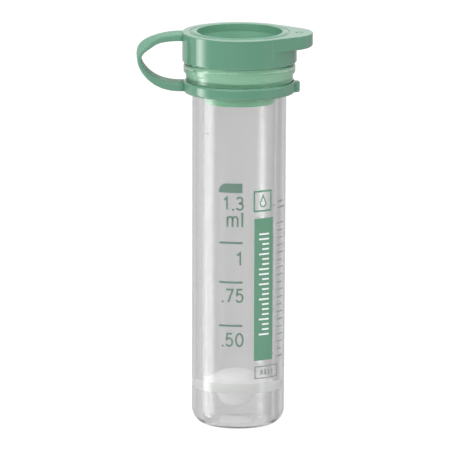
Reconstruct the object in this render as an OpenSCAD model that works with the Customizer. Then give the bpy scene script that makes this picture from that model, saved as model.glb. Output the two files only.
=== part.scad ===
// Micro blood collection tube with a push cap held by a strap.
// The tube stands on its foot with its axis on Z and the middle of its base at the origin.
// The strap is on the -X side of the cap and the thumb tab on the +X side.

/* [Body] */
// Outside diameter of the body where the rounded foot ends
foot_d = 10.68; // [10.4:0.02:10.8]
// Outside diameter of the body just under the ring
shoulder_d = 10.9; // [10.8:0.02:11.1]
// Radius of the rounded edge round the foot
foot_round = 2; // [1.5:0.1:2.4]
// Thickness of the floor
floor_t = 0.63; // [0.5:0.01:0.9]
// Inside diameter of the body at its floor
bore_floor_d = 7.94; // [7.6:0.02:8]
// Inside diameter of the body where the neck widens
bore_neck_d = 8.5; // [8.44:0.02:8.6]
// Rounding between the floor and the wall, inside
floor_round = 0.3; // [0.1:0.05:0.5]

/* [Neck] */
// Height of the rim above the base
rim_z = 44.45; // [44.4:0.05:46]
// Outside diameter of the neck above the ring
neck_d = 12.46; // [12.2:0.02:12.5]
// Outside diameter over the bead round the neck
bead_d = 12.98; // [12.7:0.02:13.02]
// Height of the middle of the bead above the base
bead_z = 41.95; // [41.7:0.05:42]
// Radius of the bead's section
bead_round = 0.5; // [0.4:0.05:0.5]
// Outside diameter of the rim, inside the cap's skirt
rim_d = 11.7; // [11.4:0.02:11.8]
// Inside diameter of the mouth
mouth_d = 10.5; // [10.46:0.02:10.6]

/* [Ring] */
// Height of the ring's lower face above the base
ring_z = 39.05; // [38.9:0.05:39.1]
// Height of the ring
ring_h = 1.35; // [1.2:0.05:1.4]
// Outside diameter of the ring
ring_d = 13; // [12.7:0.02:13.1]
// Depth of the groove in the body that keeps the ring up
groove_depth = 0.15; // [0.1:0.01:0.2]
// Gap between the ring and its groove, all round
ring_gap = 0.07; // [0.04:0.01:0.1]
// Distance from the axis to the end of the ring's lug
lug_reach = 7; // [6.9:0.05:7.2]
// Diameter of the round lug
lug_d = 1.5; // [1.2:0.1:1.6]

/* [Cap] */
// Outside diameter of the cap
cap_d = 13.3; // [13:0.02:13.4]
// Thickness of the top plate and the thumb tab
plate_t = 1.6; // [1.3:0.05:1.7]
// Length of the skirt below the plate
skirt_h = 1.9; // [1.6:0.05:2]
// Inside diameter of the skirt
skirt_bore_d = 12; // [11.9:0.02:12.1]
// Rounding round the skirt's lower edge
skirt_round = 0.6; // [0.2:0.05:0.6]
// Diameter of the recess in the top
recess_d = 9.92; // [9:0.02:10]
// Depth of the recess, from the plate's top
recess_depth = 0.8; // [0.5:0.05:1]
// Height of the lip round the recess above the plate
lip_h = 0.12; // [0.05:0.01:0.2]
// Width of the lip
lip_w = 0.7; // [0.4:0.05:0.8]

/* [Plug] */
// Diameter of the plug in the mouth
plug_d = 10.3; // [10.1:0.02:10.36]
// Diameter over the sealing ribs
rib_d = 10.4; // [10.38:0.01:10.44]
// Number of sealing ribs
ribs = 2; // [1:1:3]
// Diameter of the plug's narrow end in the body
plug_end_d = 8.32; // [8:0.02:8.34]
// Length of the plug below the rim
plug_l = 6.5; // [5.9:0.05:6.7]
// Thickness of the wall and floor of the plug's narrow end
plug_t = 0.85; // [0.7:0.05:1]
// Thickness of the wall of the plug's wide part
plug_wide_t = 0.6; // [0.5:0.05:1]
// Height over which the well widens to meet the recess
well_taper = 1.5; // [0.5:0.1:1.8]

/* [Thumb tab] */
// Distance from the axis to the end of the tab
tab_reach = 8.5; // [8:0.1:9.5]
// Radius of the tab's round end
tab_round = 3.9; // [3:0.1:4.2]
// Distance from the axis to the dimple
dimple_x = 6.9; // [6.6:0.05:7.2]

/* [Strap] */
// Width of the strap
strap_w = 2.8; // [2.4:0.1:3.6]
// Thickness of the strap at its ends
strap_t = 1; // [0.7:0.05:1.1]
// Thickness of the strap at the far side of the loop, where it bends most
strap_nose_t = 0.5; // [0.4:0.02:0.6]
// Distance from the axis to the far side of the loop
strap_reach = 11.95; // [11:0.05:13]

/* [Insert] */
// Height of the insert disc's lower face above the base
insert_z = 4.27; // [3.5:0.05:6]
// Thickness of the disc
insert_h = 1.13; // [0.8:0.01:1.6]
// Radius of the round hub below the disc
hub_r = 2.2; // [1.6:0.05:2.3]
// How far the hub stands off the axis
hub_offset = 0.3; // [0:0.05:0.4]
// Radius of the dome on top of the disc
dome_r = 2.5; // [2.2:0.05:2.8]
// Height of the dome above the disc
dome_h = 1.1; // [0.8:0.05:1.4]
// Squeeze of the disc in the bore, on the radius
insert_squeeze = 0.02; // [0.01:0.01:0.03]

/* [Hidden] */
$fn = 96;

// Clear gap between faces of the cap and the tube that close on each other
seat_gap = 0.05;

// Heights, from the base up
ring_top_z = ring_z + ring_h;
neck_z = ring_top_z + seat_gap;
plate_z = rim_z + seat_gap;
cap_top_z = plate_z + plate_t;
skirt_z = plate_z - skirt_h;
recess_z = cap_top_z - recess_depth;
plug_z = rim_z - plug_l;

// The bore widens into the mouth over this cone
cone_h = 0.5;
bore_top_z = neck_z - 0.1;
mouth_z = bore_top_z + cone_h;
// The plug's own cone follows it, this much higher
cone_gap = 0.16;
// Height through the plug's wall at that cone
cone_wall_h = 0.8;
function cone_z(r) =
    bore_top_z + (mouth_z - bore_top_z) * (r - bore_neck_d / 2) / (mouth_d / 2 - bore_neck_d / 2);

// Details of the plug
end_taper = 0.25;
rib_round = 0.25;
rib_start = 1.1;
rib_pitch = 1.2;

// The body's outside and its bore both widen upwards, so that they leave their moulds
function body_r(z) = (foot_d + (shoulder_d - foot_d) * (z - foot_round) / (ring_z - foot_round)) / 2;
function bore_r(z) =
    (bore_floor_d + (bore_neck_d - bore_floor_d) * (z - floor_t) / (bore_top_z - floor_t)) / 2;

groove_r = body_r(ring_z) - groove_depth;

// Chamfer inside the ring's lower edge, which reaches out past the body's shoulder
ring_lead = 0.15;
// The lug's lower face stands this much above the ring's
lug_lift = 0.1;

// The strap's middle line is half an ellipse on its side, between two short straight runs
strap_root_x = 6.97;
// The strap's upper face meets the cap this much below the plate's top
strap_sink = 0.07;
strap_low_z = (ring_z + ring_top_z) / 2;
strap_high_z = cap_top_z - strap_sink - strap_t / 2;
strap_steps = 24;
// The loop's nose stands this much above the middle of its ends
strap_lift = 0.6;

// Smallest overlap that makes two shapes of one piece join
join = 0.01;
// How far a cutting shape runs past the face that it cuts
cut = 1;

module tube_outline() {
    lower_r = foot_d / 2 - foot_round;
    // Foot
    translate([lower_r, foot_round]) circle(foot_round);
    square([lower_r, foot_round]);
    // Body
    polygon([
        [0, foot_round], [foot_d / 2, foot_round], [body_r(ring_z - seat_gap), ring_z - seat_gap],
        [groove_r, ring_z - seat_gap], [groove_r, neck_z], [0, neck_z]
    ]);
    // Neck and its bead
    translate([0, neck_z]) square([neck_d / 2, bead_z - neck_z]);
    translate([bead_d / 2 - bead_round, bead_z]) circle(bead_round);
    translate([0, bead_z - join]) square([bead_d / 2 - bead_round, bead_round + join]);
    // Rim
    translate([0, bead_z]) square([rim_d / 2, rim_z - bead_z]);
}

module bore_outline() {
    corner_r = bore_floor_d / 2 - floor_round;
    // Floor, with its rounded corner
    translate([corner_r, floor_t + floor_round]) circle(floor_round);
    translate([0, floor_t]) square([corner_r, floor_round]);
    // Bore, cone and mouth
    polygon([
        [0, floor_t + floor_round], [bore_floor_d / 2, floor_t + floor_round],
        [bore_neck_d / 2, bore_top_z], [mouth_d / 2, mouth_z],
        [mouth_d / 2, rim_z + cut], [0, rim_z + cut]
    ]);
}

// Keeps the part of an outline that a turn about the axis can use
module right_half() {
    intersection() {
        children();
        square([cap_d, cap_top_z + cap_d]);
    }
}

module tube() {
    color([0.88, 0.89, 0.9, 0.35])
        difference() {
            rotate_extrude() right_half() tube_outline();
            rotate_extrude() right_half() bore_outline();
        }
}

module floor_insert() {
    top_z = insert_z + insert_h;
    dome_ball_r = (dome_r * dome_r + dome_h * dome_h) / (2 * dome_h);
    color([0.9, 0.92, 0.92])
        union() {
            rotate_extrude()
                polygon([
                    [0, insert_z], [bore_r(insert_z) + insert_squeeze, insert_z],
                    [bore_r(top_z) + insert_squeeze, top_z], [0, top_z]
                ]);
            translate([-hub_offset, 0, insert_z])
                rotate_extrude()
                    intersection() {
                        circle(hub_r);
                        translate([0, -hub_r]) square([hub_r, hub_r + insert_h / 2]);
                    }
            translate([-hub_offset, 0, top_z])
                rotate_extrude()
                    intersection() {
                        translate([0, dome_h - dome_ball_r]) circle(dome_ball_r);
                        translate([0, -insert_h / 2]) square([dome_ball_r, dome_h + insert_h / 2]);
                    }
        }
}

module ring() {
    hole_r = groove_r + ring_gap;
    color([0.4, 0.6, 0.5])
        difference() {
            union() {
                translate([0, 0, ring_z]) cylinder(d = ring_d, h = ring_h);
                translate([lug_reach - lug_d / 2, 0, ring_z + lug_lift])
                    cylinder(d = lug_d, h = ring_h - lug_lift);
            }
            translate([0, 0, ring_z - cut]) cylinder(r = hole_r, h = ring_h + 2 * cut);
            translate([0, 0, ring_z - join])
                cylinder(r1 = hole_r + ring_lead + join, r2 = hole_r, h = ring_lead + join);
        }
}

// A point of the strap at angle a, from 90 at the cap to -90 at the ring, on its outer or inner side
function strap_point(a, side) =
    let (
        half_h = (strap_high_z - strap_low_z) / 2,
        length = strap_reach - strap_nose_t / 2 - strap_root_x,
        out = side * (strap_nose_t + (strap_t - strap_nose_t) * pow(sin(a), 2)) / 2,
        rise = strap_lift * pow(cos(a), 3),
        middle = [-strap_root_x - length * cos(a), strap_low_z + half_h * (1 + sin(a)) + rise],
        along = [length * sin(a), half_h * cos(a) - 3 * strap_lift * pow(cos(a), 2) * sin(a)]
    )
    middle + out * [-along.y, along.x] / norm(along);

module strap() {
    angles = [for (i = [0:strap_steps]) 90 - 180 * i / strap_steps];
    outer = [for (i = [0:strap_steps]) strap_point(angles[i], 1)];
    inner = [for (i = [strap_steps:-1:0]) strap_point(angles[i], -1)];
    end_x = cut - ring_d / 2;
    color([0.42, 0.62, 0.52])
        difference() {
            rotate([90, 0, 0])
                linear_extrude(strap_w, center = true)
                    polygon(concat(
                        [[end_x, strap_high_z + strap_t / 2]], outer,
                        [[end_x, strap_low_z - strap_t / 2], [end_x, strap_low_z + strap_t / 2]],
                        inner, [[end_x, strap_high_z - strap_t / 2]]
                    ));
            // The ends meet the round sides of the ring and the cap
            translate([0, 0, ring_z - cut]) cylinder(d = ring_d, h = ring_h + 2 * cut);
            translate([0, 0, skirt_z]) cylinder(d = cap_d + seat_gap, h = skirt_h + plate_t + cut);
        }
}

// The round top plate with its thumb tab
module plate_outline() {
    tab_x = tab_reach - tab_round;
    lean = acos((cap_d / 2 - tab_round) / tab_x);
    // The straight sides start just inside the plate's edge, so that they cross it cleanly
    at_plate = (cap_d / 2 - join) * [cos(lean), sin(lean)];
    at_tab = [tab_x, 0] + tab_round * [cos(lean), sin(lean)];
    circle(d = cap_d);
    translate([tab_x, 0]) circle(tab_round);
    polygon([at_plate, at_tab, [at_tab.x, -at_tab.y], [at_plate.x, -at_plate.y]]);
}

module skirt_outline() {
    difference() {
        union() {
            translate([0, skirt_z + skirt_round]) square([cap_d / 2, skirt_h - skirt_round + join]);
            translate([0, skirt_z]) square([cap_d / 2 - skirt_round, skirt_round + join]);
            translate([cap_d / 2 - skirt_round, skirt_z + skirt_round]) circle(skirt_round);
        }
        translate([0, skirt_z - cut]) square([skirt_bore_d / 2, skirt_h + 2 * cut]);
    }
}

module plug_outline() {
    polygon([
        [0, plug_z], [plug_end_d / 2 - end_taper, plug_z], [plug_end_d / 2, plug_z + 2 * end_taper],
        [plug_end_d / 2, cone_z(plug_end_d / 2) + cone_gap], [plug_d / 2, cone_z(plug_d / 2) + cone_gap],
        [plug_d / 2, plate_z + join], [0, plate_z + join]
    ]);
    // Sealing ribs
    for (i = [0:ribs - 1])
        translate([rib_d / 2 - rib_round, mouth_z + rib_start + i * rib_pitch]) circle(rib_round);
}

// A low round hump beside the recess
module lip_outline() {
    hump_r = (lip_w * lip_w / 4 + lip_h * lip_h) / (2 * lip_h);
    translate([recess_d / 2 + lip_w / 2, cap_top_z + lip_h - hump_r]) circle(hump_r);
}

// The recess, and the deeper well that makes the plug hollow
module well_outline() {
    wide_r = plug_d / 2 - plug_wide_t;
    narrow_r = plug_end_d / 2 - plug_t;
    wall = cone_gap + cone_wall_h;
    translate([0, recess_z]) square([recess_d / 2, recess_depth + cut]);
    polygon([
        [0, plug_z + plug_t], [narrow_r, plug_z + plug_t], [narrow_r, cone_z(plug_end_d / 2) + wall - join],
        [wide_r, cone_z(plug_d / 2) + wall], [wide_r, recess_z - well_taper],
        [recess_d / 2, recess_z], [recess_d / 2, recess_z + join], [0, recess_z + join]
    ]);
}

module cap() {
    dimple_r = 0.6;
    dimple_depth = 0.15;
    groove_r = 0.08;
    color([0.4, 0.6, 0.5])
        difference() {
            union() {
                translate([0, 0, plate_z]) linear_extrude(plate_t) plate_outline();
                rotate_extrude() skirt_outline();
                rotate_extrude() right_half() plug_outline();
                rotate_extrude() right_half() lip_outline();
            }
            rotate_extrude() right_half() well_outline();
            // Fine groove outside the lip
            rotate_extrude() translate([recess_d / 2 + lip_w + groove_r, cap_top_z]) circle(groove_r);
            translate([dimple_x, 0, cap_top_z + dimple_r - dimple_depth]) sphere(dimple_r);
        }
}

tube();
floor_insert();
ring();
strap();
cap();
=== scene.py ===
import math

import bmesh
import bpy
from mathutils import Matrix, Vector


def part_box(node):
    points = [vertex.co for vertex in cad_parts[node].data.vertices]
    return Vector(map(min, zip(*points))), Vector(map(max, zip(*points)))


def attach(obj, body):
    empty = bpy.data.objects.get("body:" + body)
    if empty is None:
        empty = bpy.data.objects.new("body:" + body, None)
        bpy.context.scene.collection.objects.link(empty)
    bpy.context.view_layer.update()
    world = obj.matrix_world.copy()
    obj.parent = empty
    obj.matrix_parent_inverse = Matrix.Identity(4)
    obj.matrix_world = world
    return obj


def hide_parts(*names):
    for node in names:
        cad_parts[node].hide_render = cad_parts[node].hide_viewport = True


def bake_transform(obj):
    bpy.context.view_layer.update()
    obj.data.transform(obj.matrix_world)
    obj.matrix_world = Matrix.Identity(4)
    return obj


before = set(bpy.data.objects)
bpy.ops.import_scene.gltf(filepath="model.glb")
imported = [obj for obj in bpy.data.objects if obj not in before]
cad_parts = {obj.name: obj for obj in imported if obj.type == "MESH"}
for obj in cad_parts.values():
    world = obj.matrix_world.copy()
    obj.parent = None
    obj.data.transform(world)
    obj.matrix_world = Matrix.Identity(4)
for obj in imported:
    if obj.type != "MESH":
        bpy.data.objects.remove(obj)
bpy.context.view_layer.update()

# Lengths are in millimetres and angles in degrees until a mesh, lamp or camera is made.
MM = 0.001


# ---------------------------------------------------------------- sizes

def node_box(name):
    """Lowest and highest corner of a CAD node, in millimetres."""
    low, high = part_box(name)
    return low / MM, high / MM


tube_low, tube_high = node_box("tube")
ring_low, ring_high = node_box("ring")
cap_low, cap_high = node_box("cap")
strap_low, strap_high = node_box("strap")
insert_low, insert_high = node_box("floor_insert")

# The camera looks slightly down at the tube, from a little right of its front, -Y. The picture is
# PICTURE_W wide at the tube, and its middle is AIM_RIGHT of the axis and AIM_Z up.
CAMERA_TURN = 2.5
CAMERA_TILT = 10.4
CAMERA_ROLL = 0.25
CAMERA_DISTANCE = 2500
PICTURE_W = 52.15
AIM_RIGHT = -1.6
AIM_Z = 23.35

# Body of the tube
FOOT_R = 5.34
SHOULDER_R = 5.45
SHOULDER_Z = ring_low.z - 0.05
FOOT_ROUND = 2.0
FLOOR_Z = 0.63
BORE_FLOOR_R = 3.97
BORE_NECK_R = 4.25
GROOVE_R = 5.3

# Neck of the tube
NECK_R = 6.23
BEAD_R = tube_high.x
BEAD_Z = 41.95
BEAD_ROUND = 0.5
RIM_R = 5.85
MOUTH_R = 5.25
RIM_Z = tube_high.z
NECK_Z = ring_high.z + 0.05
BORE_TOP_Z = NECK_Z - 0.1
CONE_H = 0.5
MOUTH_Z = BORE_TOP_Z + CONE_H

# Ring
RING_R = -ring_low.y
RING_HOLE_R = 5.37
RING_LEAD = 0.15
LUG_R = 0.75
LUG_LIFT = 0.1

# Cap
CAP_R = cap_high.y
LIP_H = 0.12
CAP_TOP_Z = cap_high.z - LIP_H
PLATE_Z = RIM_Z + 0.05
SKIRT_Z = 42.6
SKIRT_BORE_R = 6.0
TAB_REACH = cap_high.x
TAB_ROUND = 3.9
RECESS_R = 4.96
RECESS_Z = CAP_TOP_Z - 0.8
LIP_W = 0.7
LIP_GROOVE_W = 0.22
LIP_GROOVE_H = 0.1
DIMPLE_X = 6.9
DIMPLE_R = 0.55
DIMPLE_H = 0.3

# Plug. Its wide part fills the mouth and its cone, as it does when it is pushed home.
PLUG_R = MOUTH_R + 0.01
PLUG_END_R = 4.16
PLUG_LAP_Z = 39.75
LINE_Z = 41.95
LINE_DEPTH = 0.06
PLUG_Z = cap_low.z
CONE_LAP = 0.02
WELL_R = 4.55
WELL_TAPER = 1.5
WELL_END_R = 3.31
WELL_Z = PLUG_Z + 0.85
WELL_WALL = 0.96

# Strap
STRAP_W = strap_high.y - strap_low.y
STRAP_T = 1.0
STRAP_NOSE_T = 0.5
STRAP_REACH = -strap_low.x
STRAP_ROOT_X = 6.97
STRAP_LIFT = 0.6
STRAP_SINK = 0.07
STRAP_ROOT_SINK = 0.35
STRAP_SHOULDER_OUT = 0.3
STRAP_SHOULDER_TWIST = 18

# Floor insert
DISC_Z = 4.27
DISC_H = 1.13
DISC_R = insert_high.x
HUB_R = DISC_Z - insert_low.z
HUB_X = -0.3
DISC_EDGE = 0.08
DOME_R = 2.5
DOME_H = insert_high.z - DISC_Z - DISC_H
DOME_FOOT_H = 0.04


# ---------------------------------------------------------------- mesh helpers

SUPPORT = 0.03
TINY = 1e-6


def corner_steps(radius):
    return 4 + int(9 * radius)


def arc(corner, start, end, turn, steps):
    """Points of the arc that turns from one side of a corner to the other."""
    centre = corner + ((start + end) / 2 - corner) / math.sin(turn / 2) ** 2
    a, b = start - centre, end - centre
    shares = [i / steps for i in range(steps + 1)]
    return [
        centre + (a * math.sin(turn * (1 - t)) + b * math.sin(turn * t)) / math.sin(turn)
        for t in shares
    ]


def supports(a, b):
    """Two points just inside the ends of a straight stretch, which keep its shading flat."""
    along = (b - a).normalized() * min(SUPPORT, (b - a).length / 4)
    return [a + along, b - along]


def rounded(corners):
    """Points along an open outline of (r, z, radius) corners, each rounded to its radius."""
    points = [Vector(corners[0][:2])]
    for before, here, after in zip(corners, corners[1:], corners[2:]):
        corner, radius = Vector(here[:2]), here[2]
        back, ahead = Vector(before[:2]) - corner, Vector(after[:2]) - corner
        steps = corner_steps(radius)
        reach = 0
        if radius and back.length > TINY and ahead.length > TINY:
            turn = math.pi - back.angle(ahead)
            reach = min(radius * math.tan(turn / 2), 0.45 * back.length, 0.45 * ahead.length)
        if reach > TINY:
            start, end = corner + back.normalized() * reach, corner + ahead.normalized() * reach
            bend = arc(corner, start, end, turn, steps)
        else:
            bend = [corner] * (steps + 1)
        points += supports(points[-1], bend[0]) + bend
    last = Vector(corners[-1][:2])
    return points + supports(points[-1], last) + [last]


def new_piece(name, bm, material):
    bmesh.ops.remove_doubles(bm, verts=bm.verts, dist=1e-4)
    bmesh.ops.recalc_face_normals(bm, faces=bm.faces)
    for face in bm.faces:
        face.smooth = True
    bmesh.ops.scale(bm, vec=(MM, MM, MM), verts=bm.verts)
    mesh = bpy.data.meshes.new(name)
    bm.to_mesh(mesh)
    bm.free()
    mesh.materials.append(material)
    piece = bpy.data.objects.new(name, mesh)
    bpy.context.scene.collection.objects.link(piece)
    return piece


def skin(bm, rows, closed=True, loops=False):
    """Faces through rows of points. closed joins the last row to the first, loops each row to itself."""
    verts = [[bm.verts.new(p) for p in row] for row in rows]
    row_count = len(verts) if closed else len(verts) - 1
    width = len(verts[0])
    for i in range(row_count):
        a, b = verts[i], verts[(i + 1) % len(verts)]
        for j in range(width if loops else width - 1):
            k = (j + 1) % width
            bm.faces.new((a[j], b[j], b[k], a[k]))
    if loops and not closed:
        bm.faces.new(verts[0])
        bm.faces.new(verts[-1][::-1])
    return bm


def lathe(corners, segments):
    """A solid of revolution about Z from an outline of (r, z, radius) corners."""
    outline = rounded(corners)
    rows = []
    for i in range(segments):
        a = math.tau * i / segments
        rows.append([(p.x * math.cos(a), p.x * math.sin(a), p.y) for p in outline])
    return skin(bmesh.new(), rows)


# ---------------------------------------------------------------- materials

def node(tree, kind, **settings):
    made = tree.nodes.new(kind)
    for key, value in settings.items():
        setattr(made, key, value)
    return made


def new_material(name):
    material = bpy.data.materials.new(name)
    material.use_nodes = True
    tree = material.node_tree
    tree.nodes.clear()
    output = node(tree, "ShaderNodeOutputMaterial")
    shader = node(tree, "ShaderNodeBsdfPrincipled")
    tree.links.new(shader.outputs[0], output.inputs["Surface"])
    return material, tree, shader, output


def noise(tree, scale, detail=3.0, stretch=(1, 1, 1)):
    """Noise in the piece's own coordinates, with scale in waves per metre."""
    place = node(tree, "ShaderNodeTexCoord")
    mapping = node(tree, "ShaderNodeMapping")
    mapping.inputs["Scale"].default_value = stretch
    texture = node(tree, "ShaderNodeTexNoise")
    texture.inputs["Scale"].default_value = scale
    texture.inputs["Detail"].default_value = detail
    tree.links.new(place.outputs["Object"], mapping.inputs["Vector"])
    tree.links.new(mapping.outputs["Vector"], texture.inputs["Vector"])
    return texture.outputs["Fac"]


def spread(tree, source, low, high, source_low=0.3, source_high=0.7):
    """Maps a range of the source, by default the middle of a noise, onto a range of values."""
    made = node(tree, "ShaderNodeMapRange")
    made.inputs["From Min"].default_value = source_low
    made.inputs["From Max"].default_value = source_high
    made.inputs["To Min"].default_value = low
    made.inputs["To Max"].default_value = high
    tree.links.new(source, made.inputs["Value"])
    return made.outputs["Result"]


def blended(tree, share, first, second):
    """A colour between two, each given as numbers or as a socket."""
    made = node(tree, "ShaderNodeMix", data_type="RGBA")
    tree.links.new(share, made.inputs["Factor"])
    for socket, colour in zip([s for s in made.inputs if s.type == "RGBA"], (first, second)):
        if isinstance(colour, tuple):
            socket.default_value = (*colour, 1)
        else:
            tree.links.new(colour, socket)
    return [o for o in made.outputs if o.type == "RGBA"][0]


def mottle(tree, source, dark, light):
    """A colour that wanders between two near tones."""
    return blended(tree, spread(tree, source, 0, 1), dark, light)


def bump(tree, source, strength, depth):
    made = node(tree, "ShaderNodeBump")
    made.inputs["Strength"].default_value = strength
    made.inputs["Distance"].default_value = depth
    tree.links.new(source, made.inputs["Height"])
    return made.outputs["Normal"]


def painted_edge_highlight_share(tree, most):
    """How much painted edge highlight shows: none on faces, up to most on the sharpest outer edges."""
    shape = node(tree, "ShaderNodeNewGeometry")
    return spread(tree, shape.outputs["Pointiness"], 0, most, 0.51, 0.58)


def clear_plastic():
    """Faintly milky. Its neck is painted greener: a painted reflection of the green parts round it."""
    material, tree, shader, output = new_material("clear_plastic")
    cloud = noise(tree, 300, 2, (1, 1, 0.25))
    tint = mottle(tree, cloud, (0.79, 0.79, 0.79), (0.805, 0.805, 0.805))
    place = node(tree, "ShaderNodeSeparateXYZ")
    tree.links.new(node(tree, "ShaderNodeTexCoord").outputs["Object"], place.inputs[0])
    # The neck's green tint is a painted reflection of the green plug and cap round it
    on_neck = spread(tree, place.outputs["Z"], 0, 1, (NECK_Z - 0.05) * MM, NECK_Z * MM)
    tree.links.new(blended(tree, on_neck, tint, (0.82, 0.93, 0.85)), shader.inputs["Base Color"])
    tree.links.new(spread(tree, noise(tree, 900), 0.04, 0.08), shader.inputs["Roughness"])
    waves = noise(tree, 250, 1, (1, 1, 0.15))
    tree.links.new(bump(tree, waves, 0.025, 0.00001), shader.inputs["Normal"])
    shader.inputs["IOR"].default_value = 1.49
    shader.inputs["Transmission Weight"].default_value = 0.96
    # The plastic is faintly milky, which greys what is seen through its thickness
    haze = node(tree, "ShaderNodeVolumeAbsorption")
    haze.inputs["Color"].default_value = (0.2, 0.2, 0.2, 1)
    haze.inputs["Density"].default_value = 60
    tree.links.new(haze.outputs[0], output.inputs["Volume"])
    # Lamps shine through onto what the tube holds
    path = node(tree, "ShaderNodeLightPath")
    thin = node(tree, "ShaderNodeBsdfTransparent")
    thin.inputs["Color"].default_value = (0.95, 0.95, 0.95, 1)
    mix = node(tree, "ShaderNodeMixShader")
    tree.links.new(path.outputs["Is Shadow Ray"], mix.inputs[0])
    tree.links.new(shader.outputs[0], mix.inputs[1])
    tree.links.new(thin.outputs[0], mix.inputs[2])
    tree.links.new(mix.outputs[0], output.inputs["Surface"])
    return material


def moulded(name, dark, light, edge, rough, depth_seen=0.0):
    """A plastic with faint flow marks, a fine mould texture and a painted highlight on sharp edges.

    depth_seen is the share of light that spreads inside it before it leaves.
    """
    material, tree, shader, _ = new_material(name)
    body = mottle(tree, noise(tree, 250, 2, (1, 1, 0.4)), dark, light)
    # The edge tone is a painted highlight, palest on the sharpest edges
    tree.links.new(blended(tree, painted_edge_highlight_share(tree, 0.35), body, edge), shader.inputs["Base Color"])
    tree.links.new(spread(tree, noise(tree, 1200), *rough), shader.inputs["Roughness"])
    tree.links.new(bump(tree, noise(tree, 700, 1), 0.03, 0.000006), shader.inputs["Normal"])
    shader.inputs["IOR"].default_value = 1.5
    shader.inputs["Subsurface Weight"].default_value = depth_seen
    shader.inputs["Subsurface Radius"].default_value = (1, 1, 1)
    shader.inputs["Subsurface Scale"].default_value = 0.005
    return material


def milky_plastic(name, tone):
    """Plastic that light spreads in, with tone as its darkest grey."""
    # The last tone is a painted highlight on the sharp edges
    return moulded(name, (tone, tone + 0.01, tone), (tone + 0.03, tone + 0.04, tone + 0.03),
                   (tone + 0.09, tone + 0.09, tone + 0.09), (0.3, 0.4), 0.9)


def green_plastic(name, rough):
    # The last colour is a painted highlight on the sharp edges
    return moulded(name, (0.122, 0.292, 0.197), (0.126, 0.298, 0.202), (0.17, 0.37, 0.26), rough)


def plug_painted_light_plastics():
    """The plug's wide walls, the cone below them, its narrow end and its hollow.

    They are painted paler than the rest of the cap, each by its own amount: painted light in place of
    the shade that the skirt, the ring and the tube's wall cast on them.
    """
    # Painted-light copies of the cap's green, each as much lighter as its place is shaded
    walls = moulded("plug_green_painted_light", (0.31, 0.58, 0.41), (0.32, 0.60, 0.42),
                    (0.34, 0.62, 0.44), (0.45, 0.55))
    cone = moulded("cone_green_painted_light", (0.28, 0.72, 0.45), (0.29, 0.74, 0.46),
                   (0.31, 0.76, 0.48), (0.45, 0.55))
    end = moulded("plug_end_green_painted_light", (0.195, 0.62, 0.345), (0.205, 0.64, 0.355),
                  (0.22, 0.66, 0.37), (0.45, 0.55))
    hollow = moulded("hollow_green_painted_light", (0.152, 0.368, 0.245), (0.157, 0.376, 0.252),
                     (0.18, 0.42, 0.29), (0.40, 0.48))
    return [walls, cone, end, hollow]


def ink(name, colour):
    material, tree, shader, _ = new_material(name)
    lighter = tuple(min(1, c * 1.08) for c in colour)
    tree.links.new(mottle(tree, noise(tree, 3000), colour, lighter), shader.inputs["Base Color"])
    tree.links.new(spread(tree, noise(tree, 5000), 0.4, 0.6), shader.inputs["Roughness"])
    tree.links.new(bump(tree, noise(tree, 4000, 1), 0.2, 0.000004), shader.inputs["Normal"])
    return material


# ---------------------------------------------------------------- tube and insert

def make_tube(material):
    bead_top = BEAD_Z + BEAD_ROUND
    bead_low = BEAD_Z - BEAD_ROUND
    corners = [
        (0, 0, 0),
        (FOOT_R, 0, FOOT_ROUND),
        (SHOULDER_R, SHOULDER_Z, 0.05),
        (GROOVE_R, SHOULDER_Z, 0.05),
        (GROOVE_R, NECK_Z, 0.05),
        (NECK_R, NECK_Z, 0.15),
        (NECK_R, bead_low, 0.15),
        (BEAD_R, bead_low, 0.45),
        (BEAD_R, bead_top, 0.45),
        (RIM_R, bead_top, 0.15),
        (RIM_R, RIM_Z, 0.2),
        (MOUTH_R, RIM_Z, 0.1),
        (MOUTH_R, MOUTH_Z, 0.1),
        (BORE_NECK_R, BORE_TOP_Z, 0.1),
        (BORE_FLOOR_R, FLOOR_Z, 0.3),
        (0, FLOOR_Z, 0),
    ]
    tube = new_piece("clear_tube", lathe(corners, 192), material)
    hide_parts("tube")
    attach(tube, "vessel")


def dome_height(x, y, radius, height):
    """Height of the hub's dome over the disc's face at this place. It leaves the face softly."""
    d = math.hypot(x - HUB_X, y) / radius
    fullness, soft = 2.3, 0.05
    dome = height * (1 - d ** fullness) ** (1 / fullness) if d < 1 else 0.0
    near = max(0, 1 - abs(d - 1) / soft)
    return dome + DOME_FOOT_H * near * near


def disc_rim():
    """The disc's rounded rim as (r, z) points, from its top face down to its lower one."""
    steps = 6
    middle_r, top_z = DISC_R - DISC_EDGE, DISC_Z + DISC_H
    turns = [math.pi / 2 * (1 - k / steps) for k in range(steps + 1)]
    upper = [(middle_r + DISC_EDGE * math.cos(b), top_z - DISC_EDGE + DISC_EDGE * math.sin(b))
             for b in turns]
    lower = [(middle_r + DISC_EDGE * math.cos(b), DISC_Z + DISC_EDGE - DISC_EDGE * math.sin(b))
             for b in reversed(turns)]
    return upper + lower


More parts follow.
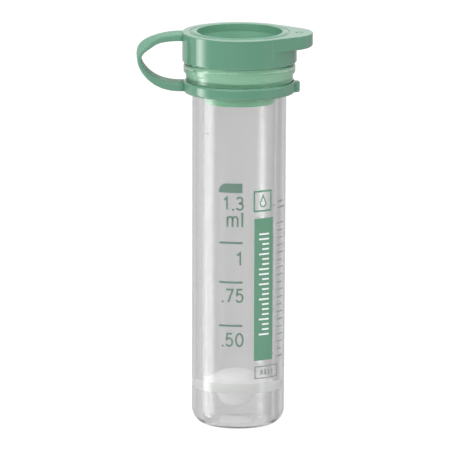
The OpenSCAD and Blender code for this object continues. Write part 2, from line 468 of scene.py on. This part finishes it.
def make_insert(painted_light_top_material, painted_shade_rim_material, painted_shading_hub_material):
    """A disc wedged in the bore with a round hub through its middle, flatter on top than below.

    Its top is painted whitest: painted light where the cap shades it. Its rim is painted greyest:
    painted shade against the bright band where it touches the wall. Its hub is painted a grey between.
    """
    segments, hub_steps, disc_steps = 128, 44, 20
    hub_edge = DOME_R * 1.06
    flat = DISC_R - DISC_EDGE - hub_edge
    # Rings over the faces, as (centre's x, radius): round the hub's middle, then towards the axis
    places = [(HUB_X, hub_edge * math.sin(math.pi / 2 * k / hub_steps)) for k in range(hub_steps + 1)]
    for k in range(1, disc_steps + 1):
        t = k / disc_steps
        places.append((HUB_X * (1 - t), hub_edge + flat * t))
    top_z = DISC_Z + DISC_H
    rim = disc_rim()
    rows = []
    for i in range(segments):
        a = math.tau * i / segments
        c, s = math.cos(a), math.sin(a)
        line = [(centre + r * c, r * s) for centre, r in places]
        upper = [(x, y, top_z + dome_height(x, y, DOME_R, DOME_H)) for x, y in line]
        lower = [(x, y, DISC_Z - dome_height(x, y, HUB_R, HUB_R)) for x, y in reversed(line)]
        rows.append(upper + [(r * c, r * s, z) for r, z in rim] + lower)
    insert = new_piece("milky_insert", skin(bmesh.new(), rows), painted_light_top_material)
    insert.data.materials.append(painted_shade_rim_material)
    insert.data.materials.append(painted_shading_hub_material)
    # Painted shade on the rim's faces, the hub's painted grey below, the top's painted light elsewhere
    for face in insert.data.polygons:
        middle = face.center / MM
        if math.hypot(middle.x, middle.y) > DISC_R - DISC_EDGE / 2:
            face.material_index = 1
        elif middle.z < DISC_Z + DISC_H / 2:
            face.material_index = 2
    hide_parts("floor_insert")
    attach(insert, "vessel")


# ---------------------------------------------------------------- closure

def make_ring(material):
    low, high = ring_low.z, ring_high.z
    inside_z = (low + high) / 2
    corners = [
        (RING_HOLE_R, inside_z, 0), (RING_HOLE_R, high, 0.08), (RING_R, high, 0.2),
        (RING_R, low, 0.3), (RING_HOLE_R + RING_LEAD, low, 0.05),
        (RING_HOLE_R, low + RING_LEAD, 0.05), (RING_HOLE_R, inside_z, 0),
    ]
    ring = new_piece("closure_ring", lathe(corners, 192), material)
    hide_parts("ring")
    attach(ring, "collar")


def make_lug(material):
    """The small upright stub at the ring's right."""
    low, high = ring_low.z + LUG_LIFT, ring_high.z
    corners = [(0, low, 0), (LUG_R, low, 0.12), (LUG_R, high, 0.18), (0, high, 0)]
    lug = new_piece("ring_lug", lathe(corners, 48), material)
    lug.location.x = (ring_high.x - LUG_R) * MM
    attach(lug, "collar")


def plate_extra(angle):
    """How far the plate's outline stands outside the cap's circle in this direction."""
    tab_x = TAB_REACH - TAB_ROUND
    lean = math.acos((CAP_R - TAB_ROUND) / tab_x)
    corner = math.atan2(TAB_ROUND * math.sin(lean), tab_x + TAB_ROUND * math.cos(lean))
    a = abs(math.remainder(angle, math.tau))
    if a >= lean:
        return 0.0
    if a >= corner:
        return CAP_R / math.cos(lean - a) - CAP_R
    return tab_x * math.cos(a) + math.sqrt(TAB_ROUND ** 2 - (tab_x * math.sin(a)) ** 2) - CAP_R


def cone_z(r):
    """Height of the tube's inner cone at radius r."""
    return BORE_TOP_Z + CONE_H * (r - BORE_NECK_R) / (MOUTH_R - BORE_NECK_R)


def hollow_corners():
    """The cap's section from the middle of its well out to the groove round the lip."""
    lip_out = RECESS_R + LIP_W
    return [
        (0, WELL_Z, 0),
        (WELL_END_R, WELL_Z, 0.2),
        (WELL_END_R, cone_z(PLUG_END_R) + WELL_WALL, 0.3),
        (WELL_R, cone_z(PLUG_R) + WELL_WALL, 0.3),
        (WELL_R, RECESS_Z - WELL_TAPER, 0.5),
        (RECESS_R, RECESS_Z, 0.3),
        (RECESS_R, CAP_TOP_Z + LIP_H * 0.6, 0.06),
        (RECESS_R + LIP_W / 2, cap_high.z + 0.01, 0.3),
        (lip_out, CAP_TOP_Z, 0.05),
        (lip_out + LIP_GROOVE_W / 2, CAP_TOP_Z - LIP_GROOVE_H, 0.05),
        (lip_out + LIP_GROOVE_W, CAP_TOP_Z, 0.05),
        (lip_out + LIP_GROOVE_W + 0.05, CAP_TOP_Z, 0),
    ]


def side_corners(extra):
    """The cap's section from near the plate's edge, which stands out by extra, down to the plug's end."""
    return [
        (CAP_R + extra - 0.16, CAP_TOP_Z, 0),
        (CAP_R + extra, CAP_TOP_Z, 0.12),
        (CAP_R + extra, PLATE_Z, 0.3),
        (CAP_R, PLATE_Z, 0.15),
        (CAP_R, SKIRT_Z, 0.58),
        (SKIRT_BORE_R, SKIRT_Z, 0.04),
        (SKIRT_BORE_R, PLATE_Z, 0.05),
        (PLUG_R, PLATE_Z, 0.05),
        (PLUG_R, LINE_Z + 0.08, 0.02),
        (PLUG_R - LINE_DEPTH, LINE_Z + 0.05, 0.02),
        (PLUG_R - LINE_DEPTH, LINE_Z - 0.05, 0.02),
        (PLUG_R, LINE_Z - 0.08, 0.02),
        (PLUG_R, cone_z(PLUG_R) - CONE_LAP, 0.1),
        (BORE_NECK_R + CONE_LAP, BORE_TOP_Z - CONE_LAP, 0.1),
        (BORE_NECK_R + CONE_LAP, PLUG_LAP_Z, 0.1),
        (PLUG_END_R, PLUG_LAP_Z - 0.1, 0.1),
        (PLUG_END_R, PLUG_Z + 0.5, 0.1),
        (PLUG_END_R - 0.25, PLUG_Z, 0.1),
        (0, PLUG_Z, 0),
    ]


def dimple(x, y):
    """Depth of the dimple in the tab at this place."""
    d = math.hypot(x - DIMPLE_X, y) / DIMPLE_R
    return DIMPLE_H * (1 - d * d) ** 2 if d < 1 else 0.0


def cap_part(face):
    """The number of a cap face's material.

    It is 1 for the plug's wide walls, 2 for its cone, 3 for its narrow end, 4 inside the hollow
    and 0 for the rest.
    """
    middle = face.center / MM
    radius = math.hypot(middle.x, middle.y)
    faces_out = face.normal.x * middle.x + face.normal.y * middle.y > 0
    if radius < RECESS_R + 0.02 and not faces_out and middle.z < CAP_TOP_Z - 0.05:
        return 4
    if middle.z > PLATE_Z or radius > PLUG_R + 0.05 or not faces_out:
        return 0
    if middle.z > MOUTH_Z:
        return 1
    return 2 if middle.z > BORE_TOP_Z - 0.1 else 3


def cap_angles():
    """Directions round the cap in radians, closest together across the tab's dimple."""
    fine, coarse, reach = 0.7, 1.9, 12
    fine_count, coarse_count = round(2 * reach / fine), round((360 - 2 * reach) / coarse)
    angles = [-reach + 2 * reach * i / fine_count for i in range(fine_count)]
    angles += [reach + (360 - 2 * reach) * i / coarse_count for i in range(coarse_count)]
    return [math.radians(a) for a in angles]


def make_cap(outside, plug):
    """The cap as sections from the middle of its well, over its top and side, to the plug's end."""
    flat_steps = 26
    hollow = rounded(hollow_corners())
    rows = []
    for a in cap_angles():
        side = rounded(side_corners(plate_extra(a)))
        flat = [hollow[-1].lerp(side[0], k / flat_steps) for k in range(1, flat_steps)]
        row = []
        for p in hollow + flat + side:
            x, y = p.x * math.cos(a), p.x * math.sin(a)
            on_top = p.y > CAP_TOP_Z - TINY
            row.append((x, y, p.y - dimple(x, y) if on_top else p.y))
        rows.append(row)
    cap = new_piece("push_cap", skin(bmesh.new(), rows), outside)
    for material in plug:
        cap.data.materials.append(material)
    for face in cap.data.polygons:
        face.material_index = cap_part(face)
    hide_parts("cap")
    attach(cap, "lid")


def at_shoulder(a):
    """One where the strap turns down from the cap, falling to nothing on both sides."""
    return math.exp(-((math.degrees(a) - 30) / 24) ** 2)


def strap_middle(a):
    """A point of the strap's middle line at angle a, from 90 at the cap to -90 at the ring."""
    low_z = (ring_low.z + ring_high.z) / 2
    high_z = CAP_TOP_Z - STRAP_SINK - STRAP_T / 2
    half_h = (high_z - low_z) / 2
    length = STRAP_REACH - STRAP_NOSE_T / 2 - STRAP_ROOT_X
    c, s = math.cos(a), math.sin(a)
    x = STRAP_SHOULDER_OUT * at_shoulder(a) - STRAP_ROOT_X - length * c
    return Vector((x, low_z + half_h * (1 + s) + STRAP_LIFT * c ** 3))


def strap_thickness(a):
    """Thinnest where the strap bends, and a little thicker at the ring than at the cap."""
    thick = STRAP_NOSE_T + (STRAP_T - STRAP_NOSE_T) * math.sin(a) ** 2
    return thick * (1 - 0.09 * math.sin(a))


def strap_twist(a):
    """How far the strap is turned about an upright line, in radians, so that its outer face shows."""
    return math.radians(CAMERA_TURN * math.cos(a) ** 2 + STRAP_SHOULDER_TWIST * at_shoulder(a))


def strap_section(thick):
    """Outline of the strap's section as (across, outwards) points: a flat oval."""
    steps, fullness = 48, 6
    points = []
    for k in range(steps):
        b = math.tau * (k + 0.5) / steps
        c, s = math.cos(b), math.sin(b)
        points.append((STRAP_W / 2 * math.copysign(abs(c) ** (2 / fullness), c),
                       thick / 2 * math.copysign(abs(s) ** (2 / fullness), s)))
    return points


def make_strap(material):
    """A flat band along the loop, with both ends sunk a little into the cap and the ring."""
    steps = 72
    turns = [math.pi / 2 - math.pi * i / steps for i in range(steps + 1)]
    path = [(strap_middle(a), a) for a in turns]
    start = Vector((STRAP_ROOT_SINK - CAP_R, path[0][0].y))
    end = Vector((STRAP_ROOT_SINK - RING_R, path[-1][0].y))
    path = [(start, turns[0])] + path + [(end, turns[-1])]
    rows = []
    for i, (p, a) in enumerate(path):
        before, after = path[max(i - 1, 0)][0], path[min(i + 1, len(path) - 1)][0]
        along = (after - before).normalized()
        out = Vector((-along.y, along.x))
        twist = strap_twist(a)
        rows.append([
            (p.x + out.x * v - u * math.sin(twist), u * math.cos(twist), p.y + out.y * v)
            for u, v in strap_section(strap_thickness(a))
        ])
    strap = new_piece("loop_strap", skin(bmesh.new(), rows, closed=False, loops=True), material)
    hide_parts("strap")
    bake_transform(strap)


# ---------------------------------------------------------------- printed scale

# Places on the body are (u, z): u runs round the tube to the right from the line that faces the camera.
INK_SINK = 0.006
INK_RISE = 0.012
MARKS_Z = (12.47, 17.57, 22.22)
MARK_LEFT = -2.3
MARK_RIGHT = 0.44
MARK_H = 0.24
FILL_LINE = ((-2.4, 28.1), (0.4, 29.2))
FILL_LINE_ROUND = 0.95
NUMBERS_Z = {"1.3": 26.03, "1": 19.52, ".75": 15.18, ".50": 9.97}
NUMBERS_RIGHT = 0.62
UNIT_PLACE = (-1.42, 24.1)
DIGIT_H = 1.66
DIGIT_W = 1.0
DIGIT_STROKE = 0.21
LABEL = ((1.84, 8.28), (4.4, 25.03))
SIGN_BOX = ((1.82, 25.9), (4.06, 28.2))
DROP_PLACE = (2.94, 26.75)
DROP_R = 0.38
BARS_LOW = 11.25
BARS_LEFT = 2.44
BAR_STEP = 0.59
BAR_PEN = 0.2
LONG_BAR = 1.36
SHORT_BAR = 0.95
# Long and short bars, from the lowest up
BARS = "lsslssslsslsllsslssll"
LOW_BOX = ((2.0, 6.2), (5.3, 7.58))
DASHES_LOW = 8.4
DASHES_HIGH = 24.1
DASHES_LEFT = 5.2
DASHES = 19
DASH_LENGTHS = (1.5, 1.1, 1.35)
# Single dashes: two above the column of dashes and one near the neck, at the left
SINGLE_DASHES = [((5.3, 25.9), (6.9, 26.1)), ((5.3, 26.6), (6.5, 26.8)), ((-4.35, 34.78), (-3.85, 34.86))]


def on_body(u, z, rise):
    """The point that stands rise above the body's surface at (u, z)."""
    r = FOOT_R + (SHOULDER_R - FOOT_R) * z / SHOULDER_Z
    a = math.radians(CAMERA_TURN) + u / r
    return (r + rise) * math.sin(a), -(r + rise) * math.cos(a), z


def fine_path(path):
    """The same path with points close enough to follow the body's curve."""
    spacing = 0.25
    points = [Vector(path[0])]
    for a, b in zip(path, path[1:]):
        count = max(1, math.ceil((Vector(b) - Vector(a)).length / spacing))
        points += [Vector(a).lerp(Vector(b), k / count) for k in range(1, count + 1)]
    return points


def stroke(bm, path, width, layer=0):
    """A thin printed line along a path on the body. A path that ends where it starts is a loop."""
    points = fine_path(path)
    closed = (points[0] - points[-1]).length < TINY
    if closed:
        points.pop()
    low, high = -INK_SINK, INK_RISE * (1 + layer)
    rows = []
    for i, p in enumerate(points):
        first, last = i == 0 and not closed, i == len(points) - 1 and not closed
        back = (p - points[i - 1]).normalized() if not first else (points[1] - p).normalized()
        ahead = (points[(i + 1) % len(points)] - p).normalized() if not last else back
        side = Vector((-(back + ahead).y, (back + ahead).x)).normalized()
        mitre = max(0.5, side.dot(Vector((-back.y, back.x))))
        a, b = p + side * width / 2 / mitre, p - side * width / 2 / mitre
        rows.append([on_body(*a, high), on_body(*b, high), on_body(*b, low), on_body(*a, low)])
    skin(bm, rows, closed=closed, loops=True)


def patch(bm, low, high, layer=0):
    """A filled oblong from its lower left corner to its upper right one."""
    middle = (low[1] + high[1]) / 2
    stroke(bm, [(low[0], middle), (high[0], middle)], high[1] - low[1], layer)


def outline_box(bm, box, pen):
    """The outline of an oblong, drawn with a pen of this width."""
    (left, low), (right, high) = box
    stroke(bm, [(left, low), (right, low), (right, high), (left, high), (left, low)], pen)


def round_block(bm, low, high, radius):
    """A filled oblong whose upper left corner is round."""
    steps = 10
    ends = [low[0] + radius * (1 - math.cos(math.pi / 2 * k / steps)) for k in range(steps + 1)]
    ends += [Vector((ends[-1], 0)).lerp(Vector((high[0], 0)), k / steps).x for k in range(1, steps + 1)]
    rows = []
    for u in ends:
        past = max(0, 1 - (u - low[0]) / radius)
        top = high[1] - radius * (1 - math.sqrt(1 - past * past))
        rows.append([on_body(u, top, INK_RISE), on_body(u, low[1], INK_RISE),
                     on_body(u, low[1], -INK_SINK), on_body(u, top, -INK_SINK)])
    skin(bm, rows, closed=False, loops=True)


def bow(centre, radii, start, end, steps=14):
    """Points along part of an ellipse between two angles, as shares of a digit's box."""
    turns = [math.radians(start + (end - start) * k / steps) for k in range(steps + 1)]
    return [(centre[0] + radii[0] * math.cos(a), centre[1] + radii[1] * math.sin(a)) for a in turns]


# Each digit is a few strokes in a box one unit wide and one unit high
DIGITS = {
    "0": [bow((0.5, 0.5), (0.5, 0.5), 90, 450, 28)],
    "1": [[(0.12, 0.76), (0.58, 1), (0.58, 0)]],
    "3": [bow((0.45, 0.75), (0.42, 0.25), 155, -90) + bow((0.45, 0.26), (0.5, 0.26), 90, -155)],
    "5": [[(0.9, 1), (0.18, 1), (0.08, 0.52)] + bow((0.46, 0.32), (0.5, 0.32), 125, -150)],
    "7": [[(0, 1), (1, 1), (0.34, 0)]],
}


def write_number(bm, text, right, base):
    """Prints a number whose last digit ends at right, standing on base."""
    inset = DIGIT_STROKE / 2
    pen_w, pen_h = DIGIT_W - 2 * inset, DIGIT_H - 2 * inset
    dot, gap = 0.22, 0.18
    u = right
    for sign in reversed(text):
        if sign == ".":
            patch(bm, (u - dot, base), (u, base + dot))
            u -= dot + gap
            continue
        left = u - DIGIT_W
        for shape in DIGITS[sign]:
            stroke(bm, [(left + inset + x * pen_w, base + inset + y * pen_h) for x, y in shape],
                   DIGIT_STROKE)
        u = left - gap


def write_unit(bm, left, base):
    """Prints ml, as arches and uprights."""
    x_high, pen = 1.2, 0.22
    stems = (left + 0.1, left + 0.69, left + 1.28)
    stroke(bm, [(stems[0], base), (stems[0], base + x_high)], pen)
    for a, b in zip(stems, stems[1:]):
        middle, r = (a + b) / 2, (b - a) / 2
        top = base + x_high - r
        stroke(bm, [(a, top - 0.2)] + bow((middle, top), (r, r), 180, 0, 10) + [(b, base)], pen)
    upright = stems[2] + 0.54
    stroke(bm, [(upright, base), (upright, base + DIGIT_H)], pen)


def add_print(name, bm, material):
    """Turns finished strokes into a flat-shaded piece on the tube."""
    piece = new_piece(name, bm, material)
    for face in piece.data.polygons:
        face.use_smooth = False
    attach(piece, "vessel")


def print_scale(material):
    """The marks, numbers and unit of the scale, and the block at the fill line."""
    bm = bmesh.new()
    for z in MARKS_Z:
        patch(bm, (MARK_LEFT, z - MARK_H / 2), (MARK_RIGHT, z + MARK_H / 2))
    round_block(bm, *FILL_LINE, FILL_LINE_ROUND)
    for text, base in NUMBERS_Z.items():
        write_number(bm, text, NUMBERS_RIGHT, base)
    write_unit(bm, *UNIT_PLACE)
    add_print("scale_print", bm, material)


def print_label(material):
    """A plain strip where the tube carries its label, and a generic drop in a box above it."""
    bm = bmesh.new()
    patch(bm, *LABEL)
    outline_box(bm, SIGN_BOX, 0.2)
    tip = (DROP_PLACE[0], DROP_PLACE[1] + 1)
    round_side = bow(DROP_PLACE, (DROP_R, DROP_R), 40, -220, 20)
    stroke(bm, [tip] + round_side + [tip], 0.13)
    add_print("label_print", bm, material)


def print_bars(material):
    """Long and short bars on the strip, in place of the words there."""
    bm = bmesh.new()
    right = BARS_LEFT + LONG_BAR
    for k, kind in enumerate(BARS):
        z = BARS_LOW + BAR_STEP * k
        length = LONG_BAR if kind == "l" else SHORT_BAR
        patch(bm, (right - length, z), (right, z + BAR_PEN), layer=1)
    add_print("label_bars", bm, material)


def print_grey_marks(material):
    """Plain marks in place of the small print: a box under the strip and a column of dashes by it."""
    bm = bmesh.new()
    outline_box(bm, LOW_BOX, 0.15)
    for k in range(4):
        patch(bm, (2.7 + 0.5 * k, 6.6), (2.95 + 0.5 * k, 7.18))
    for k in range(DASHES):
        z = DASHES_LOW + (DASHES_HIGH - DASHES_LOW) * k / (DASHES - 1)
        length = DASH_LENGTHS[k % len(DASH_LENGTHS)]
        patch(bm, (DASHES_LEFT, z), (DASHES_LEFT + length, z + 0.14))
    for low, high in SINGLE_DASHES:
        patch(bm, low, high)
    add_print("grey_print", bm, material)


# ---------------------------------------------------------------- stage

def make_floor():
    """White where nothing shades it. Most of what the camera sees of it is glow, the rest takes shadows.

    Only the camera sees it. Light from below reaches the tube, as if it stood on a clear stand.
    """
    bpy.ops.mesh.primitive_plane_add(size=6, location=(0, 0, 0))
    floor = bpy.context.object
    floor.name = "floor"
    material, tree, shader, output = new_material("floor_white")
    shader.inputs["Base Color"].default_value = (0.95, 0.95, 0.95, 1)
    shader.inputs["Roughness"].default_value = 0.9
    shader.inputs["Specular IOR Level"].default_value = 0
    glow = node(tree, "ShaderNodeEmission")
    glow.inputs["Strength"].default_value = 1.15
    path = node(tree, "ShaderNodeLightPath")
    share = node(tree, "ShaderNodeMath", operation="MULTIPLY")
    share.inputs[1].default_value = 0.75
    tree.links.new(path.outputs["Is Camera Ray"], share.inputs[0])
    mix = node(tree, "ShaderNodeMixShader")
    tree.links.new(share.outputs[0], mix.inputs[0])
    tree.links.new(shader.outputs[0], mix.inputs[1])
    tree.links.new(glow.outputs[0], mix.inputs[2])
    tree.links.new(mix.outputs[0], output.inputs["Surface"])
    floor.data.materials.append(material)
    floor.visible_glossy = False
    floor.visible_transmission = False
    floor.visible_diffuse = False
    floor.visible_shadow = False


# The studio wall round the horizon, as (azimuth right of the camera's side, brightness).
# Behind the tube it is the same for glass and for gloss. The camera's side is darker for gloss.
WALL_LEFT = [(-180, 0.97), (-172, 0.88), (-163, 0.68), (-150, 0.78), (-136, 0.86), (-123, 0.93)]
WALL_RIGHT = [
    (110, 0.9), (123, 0.78), (128, 0.69), (134, 0.58), (143, 0.53), (150, 0.55), (156, 0.64),
    (163, 0.8), (171, 0.96), (180, 0.97),
]
GLASS_WALL = WALL_LEFT + [(-90, 0.8), (-50, 0.65), (40, 0.65), (80, 0.8)] + WALL_RIGHT
GLOSS_WALL = WALL_LEFT + [(-90, 0.7), (-50, 0.35), (40, 0.35), (80, 0.7)] + WALL_RIGHT
WORLD_FILL = 0.25


def make_wall(tree, place, levels):
    """A background whose brightness changes round the horizon."""
    wall = node(tree, "ShaderNodeValToRGB")
    tree.links.new(place, wall.inputs["Fac"])
    stops = wall.color_ramp.elements
    while len(stops) < len(levels):
        stops.new(0.5)
    for stop, (turn, level) in zip(stops, levels):
        stop.position = (turn + CAMERA_TURN + 180) / 360 if abs(turn) < 180 else (turn + 180) / 360
        stop.color = (level, level, level, 1)
    background = node(tree, "ShaderNodeBackground")
    tree.links.new(wall.outputs["Color"], background.inputs["Color"])
    return background.outputs[0]


def plain_background(tree, level):
    background = node(tree, "ShaderNodeBackground")
    background.inputs["Color"].default_value = (1, 1, 1, 1)
    background.inputs["Strength"].default_value = level
    return background.outputs[0]


def place_round_horizon(tree):
    """Where a ray meets the wall, as 0 to 1 from the left edge behind the tube to the right one."""
    place = node(tree, "ShaderNodeTexCoord")
    parts = node(tree, "ShaderNodeSeparateXYZ")
    tree.links.new(place.outputs["Generated"], parts.inputs[0])
    towards = node(tree, "ShaderNodeMath", operation="MULTIPLY")
    towards.inputs[1].default_value = -1
    tree.links.new(parts.outputs["Y"], towards.inputs[0])
    azimuth = node(tree, "ShaderNodeMath", operation="ARCTAN2")
    tree.links.new(parts.outputs["X"], azimuth.inputs[0])
    tree.links.new(towards.outputs[0], azimuth.inputs[1])
    return spread(tree, azimuth.outputs[0], 0, 1, -math.pi, math.pi)


def make_world():
    """Plain soft light for the object's colours, and a studio wall for its glass and gloss."""
    world = bpy.data.worlds.new("studio")
    bpy.context.scene.world = world
    world.use_nodes = True
    tree = world.node_tree
    tree.nodes.clear()
    output = node(tree, "ShaderNodeOutputWorld")
    place_on_wall = place_round_horizon(tree)
    path = node(tree, "ShaderNodeLightPath")
    light = plain_background(tree, WORLD_FILL)
    # Light bent by a slightly rough surface counts as both kinds, so glossy comes first
    for ray, seen in (
        ("Is Glossy Ray", make_wall(tree, place_on_wall, GLOSS_WALL)),
        ("Is Transmission Ray", make_wall(tree, place_on_wall, GLASS_WALL)),
        ("Is Camera Ray", plain_background(tree, 1)),
    ):
        mix = node(tree, "ShaderNodeMixShader")
        tree.links.new(path.outputs[ray], mix.inputs[0])
        tree.links.new(light, mix.inputs[1])
        tree.links.new(seen, mix.inputs[2])
        light = mix.outputs[0]
    tree.links.new(light, output.inputs["Surface"])


def direction(azimuth, elevation):
    """A unit vector from the object, at an azimuth right of the camera's side."""
    a, e = math.radians(azimuth + CAMERA_TURN), math.radians(elevation)
    return Vector((math.sin(a) * math.cos(e), -math.cos(a) * math.cos(e), math.sin(e)))


def make_lamp(name, azimuth, elevation, size, level, distance=500, from_z=25):
    """A soft box that faces the tube's axis at the height from_z and has this brightness."""
    towards = direction(azimuth, elevation)
    data = bpy.data.lights.new(name, "AREA")
    data.shape = "RECTANGLE"
    data.size, data.size_y = size[0] * MM, size[1] * MM
    data.energy = level * math.pi * data.size * data.size_y
    lamp = bpy.data.objects.new(name, data)
    bpy.context.scene.collection.objects.link(lamp)
    lamp.location = (Vector((0, 0, from_z)) + towards * distance) * MM
    lamp.rotation_euler = (-towards).to_track_quat("-Z", "Y").to_euler()


def make_soft_box(name, azimuth, first, last, level, softness, top_z):
    """An upright box made of strips, brightest at azimuth and dimmer towards first and last."""
    strip, distance, bottom_z = 4, 400, -275
    width = 2 * distance * math.tan(math.radians(strip / 2))
    for k in range(round((last - first) / strip)):
        turn = first + strip * (k + 0.5)
        there = level * math.exp(-((turn - azimuth) / softness) ** 2)
        make_lamp(f"{name}_{k}", turn, 0, (width, top_z - bottom_z), there, distance,
                  (top_z + bottom_z) / 2)


def make_camera():
    """A long lens that looks slightly down at the front of the tube."""
    turn = math.radians(CAMERA_TURN)
    aim = Vector((AIM_RIGHT * math.cos(turn), AIM_RIGHT * math.sin(turn), AIM_Z))
    back = direction(0, CAMERA_TILT)
    data = bpy.data.cameras.new("camera")
    data.lens = data.sensor_width * CAMERA_DISTANCE / PICTURE_W
    camera = bpy.data.objects.new("camera", data)
    bpy.context.scene.collection.objects.link(camera)
    camera.location = (aim + back * CAMERA_DISTANCE) * MM
    camera.rotation_euler = back.to_track_quat("Z", "Y").to_euler()
    camera.rotation_euler.rotate_axis("Z", math.radians(CAMERA_ROLL))
    bpy.context.scene.camera = camera


make_tube(clear_plastic())
# Painted light on the insert's top, painted shade on its rim and a painted grey on its hub
make_insert(milky_plastic("milky_plastic", 0.88), milky_plastic("milky_rim_painted_shade", 0.51),
            milky_plastic("milky_hub_painted_shading", 0.69))
green = green_plastic("green_plastic", (0.07, 0.11))
make_ring(green)
make_lug(green)
make_strap(green_plastic("dull_green_plastic", (0.40, 0.48)))
make_cap(green, plug_painted_light_plastics())
print_scale(ink("scale_green", (0.125, 0.215, 0.17)))
print_label(ink("label_green", (0.12, 0.29, 0.19)))
print_bars(ink("print_white", (0.92, 0.93, 0.92)))
print_grey_marks(ink("print_grey", (0.30, 0.32, 0.31)))
make_floor()
make_world()
# These two are low, where the body mirrors them. The cap is too high to mirror the right one.
make_soft_box("left_box", azimuth=-86, first=-98, last=-58, level=7.4, softness=11, top_z=-10)
make_soft_box("right_box", azimuth=61.5, first=43, last=83, level=2.2, softness=8, top_z=-36)
make_lamp("front_box", azimuth=-26, elevation=22, size=(600, 450), level=1.75)
make_lamp("low_box", azimuth=-10, elevation=-50, size=(600, 500), level=1.1)
make_lamp("side_box", azimuth=75, elevation=20, size=(400, 400), level=1.4)
make_lamp("top_box", azimuth=0, elevation=85, size=(500, 500), level=3.4)
make_camera()
bpy.context.scene.view_settings.view_transform = "Standard"
